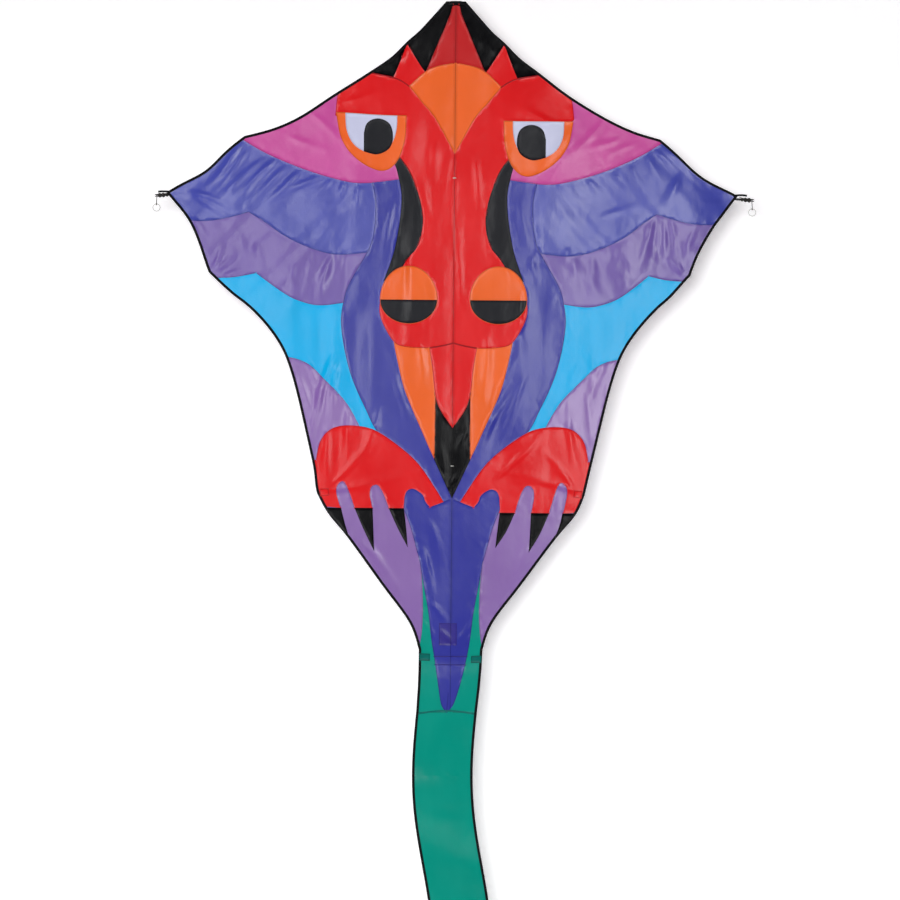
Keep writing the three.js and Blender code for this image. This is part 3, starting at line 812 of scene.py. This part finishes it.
def ring_material(name):
    """Clear plastic, clouded a little."""
    n = Nodes(name)
    cloud = n.noise(n.where(), 160)
    n.shader.inputs["Subsurface Weight"].default_value = 0.3
    n.shader.inputs["Subsurface Radius"].default_value = (0.002, 0.002, 0.002)
    n.shader.inputs["Subsurface Scale"].default_value = 1.0
    return n.surface(n.mix(cloud, linear(190, 190, 186), linear(225, 225, 222)), 0.2)


CLOTH_LOOKS = {
    "red_cloth": dict(colour=(227, 27, 31), roughness=0.18, specular=0.24),
    "orange_cloth": dict(colour=(244, 104, 42), roughness=0.18, specular=0.24),
    "black_cloth": dict(colour=(5, 5, 8), painted_sheen=0.0, hem_shade=0.4, specular=0.16),
    "white_cloth": dict(colour=(205, 207, 235), hem_shade=0.8, specular=0.3),
    "pink_cloth": dict(colour=(203, 77, 157), specular=0.40),
    "blue_cloth": dict(colour=(50, 54, 156)),
    "violet_cloth": dict(colour=(69, 76, 171), specular=0.61),
    "purple_cloth": dict(colour=(113, 90, 168)),
    "cyan_cloth": dict(colour=(9, 178, 238), specular=0.28),
    "lilac_cloth": dict(colour=(138, 102, 174), specular=0.76),
    "green_cloth": dict(colour=(2, 149, 131), specular=0.2),
}
CLOTH = {name: cloth_material(name, **look) for name, look in CLOTH_LOOKS.items()}
# A paler copy of the black cloth, a painted sheen: it stands in for the glare on the crescents, pupils and
# lower nostrils.
SHEEN_BLACK = cloth_material("sheen_painted_black_cloth", (30, 31, 36), hem_shade=0.4, specular=0.15)
DARK_GREEN = cloth_material("dark_green_cloth", (3, 106, 98), specular=0.2)
SPECIAL = {  # pieces whose cloth differs from the rest of their slot
    "crest": cloth_material("crest_cloth", (196, 34, 37), specular=0.24),
    "crescent": SHEEN_BLACK,
    "pupil": SHEEN_BLACK,
    "nostril_lower": SHEEN_BLACK,
    "batten_pocket": DARK_GREEN,
    "spine_end_patch": cloth_material("patch_blue_cloth", (54, 46, 138), hem_shade=0.85),
}
SEAM_RED = cloth_material("red_seam", (158, 20, 26), specular=0.24)
SEAM_BLUE = cloth_material("blue_seam", (46, 40, 122), specular=0.3)
TAPE = tape_material("edge_tape", (13, 13, 16))
WHITE_LINE = line_material("white_line", (235, 235, 230))
DARK_LINE = line_material("dark_line", (40, 36, 30))
ROD = rod_material("rod", (30, 30, 33))
FITTING = plastic_material("fitting", (20, 21, 23), 0.45)
CAP = plastic_material("vinyl_cap", (24, 24, 25), 0.6)
SLEEVE = plastic_material("vinyl_sleeve", (30, 30, 32), 0.35)
RING = ring_material("clear_ring")


# ---- The sail ----


def with_wing(piece):
    """A piece of one side's cloth, with its placement baked into its mesh."""
    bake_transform(piece)
    return piece


def fixed(piece, body, stands_for=None):
    """A piece that moves with one body, and may stand for a CAD node."""
    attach(piece, body)
    if stands_for:
        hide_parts(stands_for)
    return piece


PANELS = {  # from the top: each is sewn over the ones after it
    "eye": "orange_cloth", "brow": "orange_cloth", "nostril": "orange_cloth",
    "crest": "red_cloth", "crown": "black_cloth", "crescent": "black_cloth",
    "head": "red_cloth", "tusk": "orange_cloth", "mouth": "black_cloth",
    "body": "blue_cloth", "hand": "lilac_cloth", "foot": "red_cloth",
    "shoulder": "pink_cloth", "neck": "blue_cloth",
    "wing_upper": "violet_cloth", "wing_middle": "purple_cloth",
    "hip": "lilac_cloth", "wing_lower": "cyan_cloth", "tail_root": "green_cloth",
}


def add_panels():
    for word in SIDES:
        for rank, (name, slot) in enumerate(PANELS.items()):
            loops = [widened(loop, OVERLAP) for loop in node_loops(f"{name}_{word}")]
            layer = len(PANELS) - rank + (0.5 if word == "left" else 0)
            piece = cloth_mesh(f"panel_{name}_{word}", loops, SPECIAL.get(name, CLOTH[slot]), layer=layer)
            with_wing(piece)
            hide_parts(f"{name}_{word}")


# The two sides' patches aren't at the same height. In millimetres.
EYE_RISE = {"left": 6, "right": -6}
SOLE_RISE = {"left": 1, "right": -9}
BATTEN_RISE = {"left": 5, "right": 0}


def half_disc(centre, radius_x, radius_z):
    angles = np.linspace(np.pi, 2 * np.pi, 24)
    return (np.stack([radius_x * np.cos(angles), radius_z * np.sin(angles)], axis=1) + centre) * MM


def patches(word):
    """The smaller pieces sewn through the panels: name, slot, outline, layers of cloth under it."""
    eye = np.array([0, EYE_RISE[word] * MM])
    batten = np.array([0, BATTEN_RISE[word] * MM])
    sole = SOLE_RISE[word] - 870
    white = outline((152, 156), (287, 156),
                    curve((284, 115), (268, 82), (240, 62), (206, 55), (178, 66), (160, 95),
                          (153, 125), (152, 156)))
    pupil = outline((239, 61), (239, 108),
                    curve((233, 130), (220, 142), (201, 147), (182, 142), (169, 130), (163, 108), (165, 84),
                          (178, 65), (206, 54), (239, 61)))
    claw_outer = outline((331, sole), (291, sole), (283, sole - 33), (268, -951), (271, -947),
                         (297, -914), (325, -880))
    claw_middle = outline((256, sole), (208, sole), (206, sole - 50), (203, -983), (232, sole - 55))
    claw_inner = outline((166, sole), (126, sole), (120, sole - 48), (115, -972), (142, sole - 52))
    hip_pocket = outline((321, -818), (343, -820), (341, -840), (319, -837))
    batten_pocket = outline((54, -1256), (82, -1255), (82, -1274), (54, -1275)) + batten
    return [
        ("eye_white", "white_cloth", white[:-1] + eye, 1),
        ("pupil", "black_cloth", pupil[:-1] + eye, 2),
        ("nostril_lower", "black_cloth", half_disc((118, -321), 74.5, 62), 1),
        ("claw_outer", "black_cloth", claw_outer, 1),
        ("claw_middle", "black_cloth", claw_middle, 1),
        ("claw_inner", "black_cloth", claw_inner, 1),
        ("hip_pocket", "red_cloth", hip_pocket, 1),
        ("batten_pocket", "green_cloth", batten_pocket, 1),
    ]


def add_patches():
    for word, side in SIDES.items():
        for name, slot, shape, layers in patches(word):
            loop = anticlockwise(on_side(shape, side))
            piece = cloth_mesh(f"{name}_{word}", [loop], SPECIAL.get(name, CLOTH[slot]),
                               extra=PATCH_REACH + layers * PATCH_STEP, hem=PATCH_HEM, gathered=False)
            with_wing(piece)


def add_top_patches():
    """The patch over the spine's lower end, and the black ones at the nose."""
    shape = on_side(outline((-31, -1170), (16, -1170), (16, -1229), (-31, -1229)), 1)
    piece = cloth_mesh("spine_end_patch", [anticlockwise(shape)], SPECIAL["spine_end_patch"], TOP_LAYER,
                       hem=PATCH_HEM)
    fixed(piece, "frame")
    shape = outline((0, 463), (13, 463), (20, 461), (26, 456), (19, 447), (9, 452), (0, 454))
    for word, side in SIDES.items():
        loop = anticlockwise(on_side(shape, side))
        piece = cloth_mesh(f"nose_patch_{word}", [loop], CLOTH["black_cloth"], TOP_LAYER)
        with_wing(piece)


def strip(name, line, half_width, material, half_thickness=0.62 * MM):
    """A narrow strip of doubled cloth or stitching that follows the sail's surface along a line."""
    path = on_sail(dense_line(line, 4 * MM), STRIP_LAYER)
    w, t = half_width, half_thickness
    section = [(-w, -0.6 * t), (-0.8 * w, -t), (0.8 * w, -t), (w, -0.6 * t),
               (w, 0.6 * t), (0.8 * w, t), (-0.8 * w, t), (-w, 0.6 * t)]
    piece = sweep(name, path, section, material)
    store(piece, "edge", np.ones(len(piece.data.vertices)))
    store_cloth_map(piece, [(v.co.x + 1, v.co.z) for v in piece.data.vertices])
    return piece


def add_strips():
    tongue = np.array(catmull([(0, -434), (27, -441), (62, -447)])) * MM
    ridge = np.array(catmull([(119, 238), (140, 252), (164, 262), (192, 267), (220, 271)])) * MM
    for word, side in SIDES.items():
        for name, line, half_width in (("tongue", tongue, 2.0 * MM), ("brow_ridge", ridge, 1.7 * MM)):
            seam = strip(f"{name}_seam_{word}", on_side(line, side), half_width, SEAM_RED)
            with_wing(seam)
        for number, (width, z) in enumerate(((45, -1258), (42, -1280)), start=1):
            line = on_side(np.array([(1, z), (width, z)]) * MM, side)
            sleeve = strip(f"batten_sleeve_{number}_{word}", line, 1.3 * MM, SEAM_BLUE)
            with_wing(sleeve)


# The sail's edge on the right side, from the nose to the tail's seam.
EDGE = outline(
    (0, 463.5),
    (12, 463.5),
    (20, 461.5),
    (27, 457),
    curve((135, 342), (220, 276), (299, 217), (394, 160), (469, 125), (540, 104)),
    curve((621, 43), (675, 5), (748, -44)),
    curve((692, -113), (656, -182), (629, -252)),
    curve((576, -306), (534, -342), (490, -390), (455, -440), (432, -490), (408, -570), (372, -722),
          (347, -831)),
    curve((324, -882), (270, -948), (182, -1068), (108, -1168), (82, -1239)),
    (81, -1290),
    (79.6, -1340),
    (78, -1405),
)


def tape(name, edge):
    """Folded tape along an edge of the cloth, which has the cloth on its right hand."""
    dense = dense_line(edge, 7 * MM)
    ahead = np.gradient(dense, axis=0)
    ahead /= np.linalg.norm(ahead, axis=1)[:, None]
    inward = np.stack([ahead[:, 1], -ahead[:, 0]], axis=1)
    t = TAPE_HALF_THICKNESS
    half = [(-TAPE_OUT, -0.4 * t), (-0.4 * TAPE_OUT, -t), (TAPE_WIDTH * 0.93, -t), (TAPE_WIDTH, -0.6 * t)]
    section = np.array(half + [(across, -depth) for across, depth in reversed(half)])
    flat = dense[:, None] + inward[:, None] * section[None, :, :1]
    rows = on_sail(flat.reshape(-1, 2), TAPE_LAYER).reshape(len(dense), len(section), 3)
    rows[:, :, 1] += section[:, 1]
    return tube(name, rows, TAPE)


def add_sail_tapes():
    for word, side in SIDES.items():
        edge = on_side(EDGE, side)
        edge = edge if side > 0 else edge[::-1]
        with_wing(tape(f"edge_tape_{word}", edge))


# ---- The tail ----


def ribbon_length(number, top, bottom):
    """One length of the ribbon with its edge tapes, and the hem on the last."""
    levels = np.linspace(top, bottom, 15)
    left = np.stack([tail_centre(levels) - TAIL_HALF_WIDTH, levels], axis=1)
    right = np.stack([tail_centre(levels) + TAIL_HALF_WIDTH, levels], axis=1)
    loop = anticlockwise(np.concatenate([left, right[::-1]]))
    ribbon = cloth_mesh(f"tail_ribbon_{number}", [loop], CLOTH["green_cloth"], sewn=False)
    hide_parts(f"tail_{number}")
    tapes = [tape(f"tail_tape_{number}_right", right), tape(f"tail_tape_{number}_left", left[::-1])]
    if number == TAIL_SEGMENTS:
        tapes.append(tape("tail_hem", np.array([right[-1], left[-1]])))
    return [ribbon, *tapes]


def add_tail():
    length = (TAIL_SEAM - TAIL_END) / TAIL_SEGMENTS
    for number in range(1, TAIL_SEGMENTS + 1):
        joint = TAIL_SEAM - (number - 1) * length
        first, last = number == 1, number == TAIL_SEGMENTS
        top = TAIL_SEAM + 0.4 * MM if first else joint + length / 2
        bottom = TAIL_END if last else joint - length / 2
        for piece in ribbon_length(number, top, bottom):
            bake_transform(piece)
    across = np.linspace(-1, 1, 21)
    seam = np.stack([tail_centre(TAIL_SEAM) + across * 0.074, TAIL_SEAM + (4 - 8 * across**2) * MM], axis=1)
    fixed(strip("tail_seam", seam, 2.2 * MM, DARK_GREEN), "frame")


# ---- Spars and fittings ----

WING_SPAR = ((0.016, 0.0145, -0.001), (0.776, 0.0145, -0.050))  # the right one's inner and outer ends
WING_SPAR_RADIUS = 3 * MM
LOWER_SPAR = ((0.015, 0.013, -0.760), (0.326, 0.0056, -0.829))
LOWER_SPAR_RADIUS = 2.5 * MM
SPINE_BORE = 3.85 * MM
RING_CENTRE = (0.785, 0.0145, -0.0825)
RING_RADIUS = 9.5 * MM
RING_SECTION = 1.3 * MM
BRIDLE_POINTS = (0.0, -0.757)  # heights of the two white loops
LINE_WRAPS = ((0.7575, 4.0 * MM), (0.767, 5.4 * MM), (0.7765, 5.4 * MM))  # distance from the spine, radius
WRAP_SECTION = 0.85 * MM
WRAP_PITCH = 1.7 * MM


def spar_ends(spar, side):
    """A spar's inner and outer ends on one side, and its direction outwards."""
    inner, outer = [Vector((x * side, y, z)) for x, y, z in spar]
    return inner, outer, (outer - inner).normalized()


def rod_between(name, start, end, radius):
    start, end = Vector(start), Vector(end)
    length = (end - start).length
    bevel = 0.5 * MM
    profile = [(0, 0), (0, radius - bevel), (bevel, radius)]
    profile += [(length * k / 12, radius) for k in range(1, 12)]
    profile += [(length - bevel, radius), (length, radius - bevel), (length, 0)]
    return turned(name, profile, start, end - start, ROD)


def finish_cad_nodes():
    """The moulded fittings and the tension lines are right as they are, and only get their material."""
    looks = {"centre_hub": FITTING, "lower_hub": FITTING}
    for word in SIDES:
        looks[f"nock_{word}"] = FITTING
        looks[f"tension_line_{word}"] = DARK_LINE
    for name, material in looks.items():
        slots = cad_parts[name].data.materials
        slots.clear()
        slots.append(material)


def add_spine():
    for name in ("spine_upper", "spine_lower"):
        low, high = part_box(name)
        x, y = (low[0] + high[0]) / 2, (low[1] + high[1]) / 2
        rod = rod_between(f"{name}_rod", (x, y, low[2]), (x, y, high[2]), (high[0] - low[0]) / 2)
        fixed(rod, "frame", name)


def add_ferrule():
    """The tube that joins the spine's rods, with a raised band round its middle."""
    low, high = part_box("spine_ferrule")
    radius, length = (high[0] - low[0]) / 2, high[2] - low[2]
    middle, chamfer, band = length / 2, 0.8 * MM, 0.3 * MM
    profile = [(0, SPINE_BORE), (0, radius - chamfer), (chamfer, radius)]
    profile += [(middle - 1.5 * MM, radius), (middle - 1 * MM, radius + band)]
    profile += [(middle + 1 * MM, radius + band), (middle + 1.5 * MM, radius)]
    profile += [(length - chamfer, radius), (length, radius - chamfer), (length, SPINE_BORE), (0, SPINE_BORE)]
    ferrule = turned("ferrule_tube", profile, (0, (low[1] + high[1]) / 2, low[2]), (0, 0, 1), FITTING)
    fixed(ferrule, "frame", "spine_ferrule")


def add_end_caps():
    """Vinyl caps with a domed end and a rolled lip, hollow up to where the rod stops."""
    for name, direction in (("nose_cap", -1), ("spine_end_cap", 1)):
        low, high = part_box(name)
        radius, length = (high[0] - low[0]) / 2, high[2] - low[2]
        start = (0, (low[1] + high[1]) / 2, high[2] if direction < 0 else low[2])
        dome, bore, lip = radius * 0.45, 3.8 * MM, 0.25 * MM
        profile = [(dome * (1 - math.cos(a)), radius * math.sin(a)) for a in np.linspace(0, math.pi / 2, 8)]
        profile += [(length - 1.2 * MM, radius), (length - 0.6 * MM, radius + lip), (length, radius)]
        profile += [(length, bore), (dome + 1 * MM, bore), (dome + 1 * MM, 0)]
        cap = turned(f"{name}_vinyl", profile, start, (0, 0, direction), CAP)
        fixed(cap, "frame", name)


def add_spars(word, side):
    body = f"wing_{word}"
    inner, outer, _ = spar_ends(WING_SPAR, side)
    rod = rod_between(f"wing_rod_{word}", inner, outer, WING_SPAR_RADIUS)
    fixed(rod, body, f"wing_spar_{word}")
    inner, outer, _ = spar_ends(LOWER_SPAR, side)
    rod = rod_between(f"lower_rod_{word}", inner, outer, LOWER_SPAR_RADIUS)
    fixed(rod, body, f"lower_spar_{word}")


def add_sleeve(name, word, spar, behind, bore, outer, length):
    """The vinyl tube that joins a spar to its hub."""
    inner, _, direction = spar_ends(spar, SIDES[word])
    start = inner - direction * behind
    lip = outer - 0.6 * MM
    stations = [0, 0.6 * MM] + [k * 1.5 * MM for k in range(1, 12)]
    stations += [length * 0.6, length - 0.8 * MM, length]
    radii = [lip] + [outer] * (len(stations) - 2) + [lip]
    profile = list(zip(stations, radii))
    profile += [(station, bore) for station in reversed(stations)] + [(0, lip)]
    piece = turned(name, profile, start, direction, SLEEVE, sides=24)
    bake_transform(piece)


def add_ring(word, side):
    x, y, z = RING_CENTRE
    angles = np.linspace(0, 2 * math.pi, 48, endpoint=False)
    circle = [(x * side + RING_RADIUS * math.cos(a), y, z + RING_RADIUS * math.sin(a)) for a in angles]
    ring = sweep(f"ring_{word}", circle, ring_section(RING_SECTION, 14), RING, closed=True)
    fixed(ring, f"ring_{word}", f"pull_ring_{word}")


def add_lower_spar_tip(word, side):
    """The cap on the lower spar's outer end, in the hip pocket."""
    _, outer, direction = spar_ends(LOWER_SPAR, side)
    bore, radius, depth = 2.7 * MM, 4 * MM, 9 * MM
    profile = [(0, bore), (0, 3.6 * MM), (1 * MM, radius), (11 * MM, radius), (13.5 * MM, 2.6 * MM),
               (14 * MM, 0), (depth, 0), (depth, bore), (0, bore)]
    cap = turned(f"lower_rod_tip_{word}", profile, outer - direction * 8.5 * MM, direction, CAP)
    fixed(cap, f"wing_{word}")


def add_tip_details(word, side):
    """The edge tape's long end at the wing's corner, and the turns of line round the spar's end."""
    tab = on_side(np.array([(742, -41.5), (750, -41.2), (762, -41), (773, -42)]) * MM, side)
    with_wing(strip(f"tape_end_{word}", tab, 2.6 * MM, TAPE, 0.8 * MM))
    inner, _, direction = spar_ends(WING_SPAR, side)
    radial = direction.cross(Vector((0, 1, 0))).normalized()
    other = direction.cross(radial)
    for number, (x, radius) in enumerate(LINE_WRAPS, start=1):
        centre = inner + direction * ((x - WING_SPAR[0][0]) / abs(direction.x))
        turns = []
        for a in np.linspace(0, 5 * math.pi, 61):
            along = direction * WRAP_PITCH * (a / (2 * math.pi) - 1.25)
            turns.append(centre + along + (radial * math.cos(a) + other * math.sin(a)) * radius)
        cord = ring_section(WRAP_SECTION, 12)
        wrap = sweep(f"line_wrap_{number}_{word}", turns, cord, DARK_LINE, up=direction)
        fixed(wrap, f"wing_{word}")


def add_batten():
    low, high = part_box("tail_batten")
    y, z = (low[1] + high[1]) / 2, (low[2] + high[2]) / 2
    rod = rod_between("batten_rod", (low[0], y, z), (high[0], y, z), (high[2] - low[2]) / 2)
    fixed(rod, "frame", "tail_batten")


def add_bridle_loops():
    """Two short loops of white line that come through the face from the spine."""
    for number, z in enumerate(BRIDLE_POINTS, start=1):
        arc = [(0.0038 * math.cos(a), -0.0012 - 0.0062 * math.sin(a), z) for a in np.linspace(0, math.pi, 13)]
        path = [(arc[0][0], 0.0015, z), *arc, (arc[-1][0], 0.0015, z)]
        loop = sweep(f"bridle_loop_{number}", path, ring_section(1.1 * MM, 12), WHITE_LINE, up=(0, 0, 1))
        fixed(loop, "frame")


def add_hardware():
    finish_cad_nodes()
    add_spine()
    add_ferrule()
    add_end_caps()
    for word, side in SIDES.items():
        add_spars(word, side)
        add_sleeve(f"wing_sleeve_{word}", word, WING_SPAR, 4.5 * MM, 3.05 * MM, 4.5 * MM, 42 * MM)
        add_sleeve(f"lower_sleeve_{word}", word, LOWER_SPAR, 5.5 * MM, 2.55 * MM, 3.7 * MM, 34 * MM)
        add_ring(word, side)
        add_lower_spar_tip(word, side)
        add_tip_details(word, side)
    add_batten()
    add_bridle_loops()


# ---- Stage and light ----

WALL_Y = 1.15  # clear of the tail when it is bent right back
FLOOR_Z = -3.95
STAGE_REACH = 9  # how far the wall and the floor go
STAGE_FRONT = -8
LIT_POINT = Vector((0, 0, -0.6))  # what every light is turned to
BESIDE_CAMERA = (-0.15, -7.0, -0.60)
KEY_SIZE = (0.36, 0.36)


def paper_white(name, glow):
    """White paper that glows a little. Returns its nodes."""
    n = Nodes(name)
    tone = n.noise(n.where(), 0.6, 2.0)
    n.surface(n.mix(tone, linear(247, 247, 248), linear(252, 252, 252)), 0.9, specular=0.1)
    n.shader.inputs["Emission Color"].default_value = (1, 1, 1, 1)
    n.shader.inputs["Emission Strength"].default_value = glow
    return n


def add_wall():
    """The backdrop, which can be seen through from behind."""
    n = paper_white("wall", 0.28)
    clear = n.add("ShaderNodeBsdfTransparent")
    behind = n.add("ShaderNodeNewGeometry").outputs["Backfacing"]
    mixer = n.add("ShaderNodeMixShader", {0: behind, 1: n.shader.outputs[0], 2: clear.outputs[0]})
    n.tree.links.new(mixer.outputs[0], n.tree.nodes["Material Output"].inputs["Surface"])
    r = STAGE_REACH
    corners = [(-r, WALL_Y, FLOOR_Z), (r, WALL_Y, FLOOR_Z), (r, WALL_Y, r), (-r, WALL_Y, r)]
    mesh_object("wall", corners, [(0, 1, 2, 3)], n.material, smooth=False)


def add_floor():
    r = STAGE_REACH
    corners = [(-r, STAGE_FRONT, FLOOR_Z), (r, STAGE_FRONT, FLOOR_Z), (r, r, FLOOR_Z), (-r, r, FLOOR_Z)]
    mesh_object("floor", corners, [(0, 1, 2, 3)], paper_white("floor", 0.3).material, smooth=False)


def add_area(name, place, size, power, mirrored=True):
    data = bpy.data.lights.new(name, "AREA")
    data.shape = "RECTANGLE"
    data.size, data.size_y = size
    data.energy = power
    light = bpy.data.objects.new(name, data)
    bpy.context.collection.objects.link(light)
    light.location = place
    light.rotation_euler = (LIT_POINT - Vector(place)).to_track_quat("-Z", "Y").to_euler()
    light.visible_camera = False
    light.visible_glossy = mirrored
    return light


def keep_off_wall(lights):
    """These bring out the folds and the sheen, and throw no second shadow on the wall."""
    group = bpy.data.collections.new("lit_by_key_only")
    group.objects.link(bpy.data.objects["wall"])
    group.collection_objects[0].light_linking.link_state = "EXCLUDE"
    for light in lights:
        light.light_linking.receiver_collection = group


def only_on_wall(light):
    """It whitens the wall round the kite's shadow."""
    group = bpy.data.collections.new("wall_only")
    group.objects.link(bpy.data.objects["wall"])
    light.light_linking.receiver_collection = group


def add_light():
    add_area("key", BESIDE_CAMERA, KEY_SIZE, 222, mirrored=False)
    only_on_wall(add_area("wall_light", BESIDE_CAMERA, KEY_SIZE, 190, mirrored=False))
    keep_off_wall([
        add_area("raking", (-4.6, -2.7, 1.9), (0.9, 2.4), 110, mirrored=False),
        add_area("sheen_right", (1.1, -7.2, 0.0), (0.9, 2.2), 57),
        add_area("sheen_left", (-1.45, -7.2, 0.1), (0.7, 2.2), 39),
    ])
    add_area("back_fill", (1.5, 6.0, 1.5), (3.0, 3.0), 200)
    world = bpy.data.worlds.new("world")
    world.use_nodes = True
    background = world.node_tree.nodes["Background"].inputs
    background[0].default_value = (1, 1, 1, 1)
    background[1].default_value = 0.8
    world.cycles_visibility.diffuse = False
    world.cycles_visibility.glossy = False
    bpy.context.scene.world = world
    bpy.context.scene.view_settings.view_transform = "Standard"
    bpy.context.scene.view_settings.look = "None"


add_camera()
add_wall()
add_floor()
add_light()
add_panels()
add_patches()
add_top_patches()
add_strips()
add_sail_tapes()
add_tail()
add_hardware()
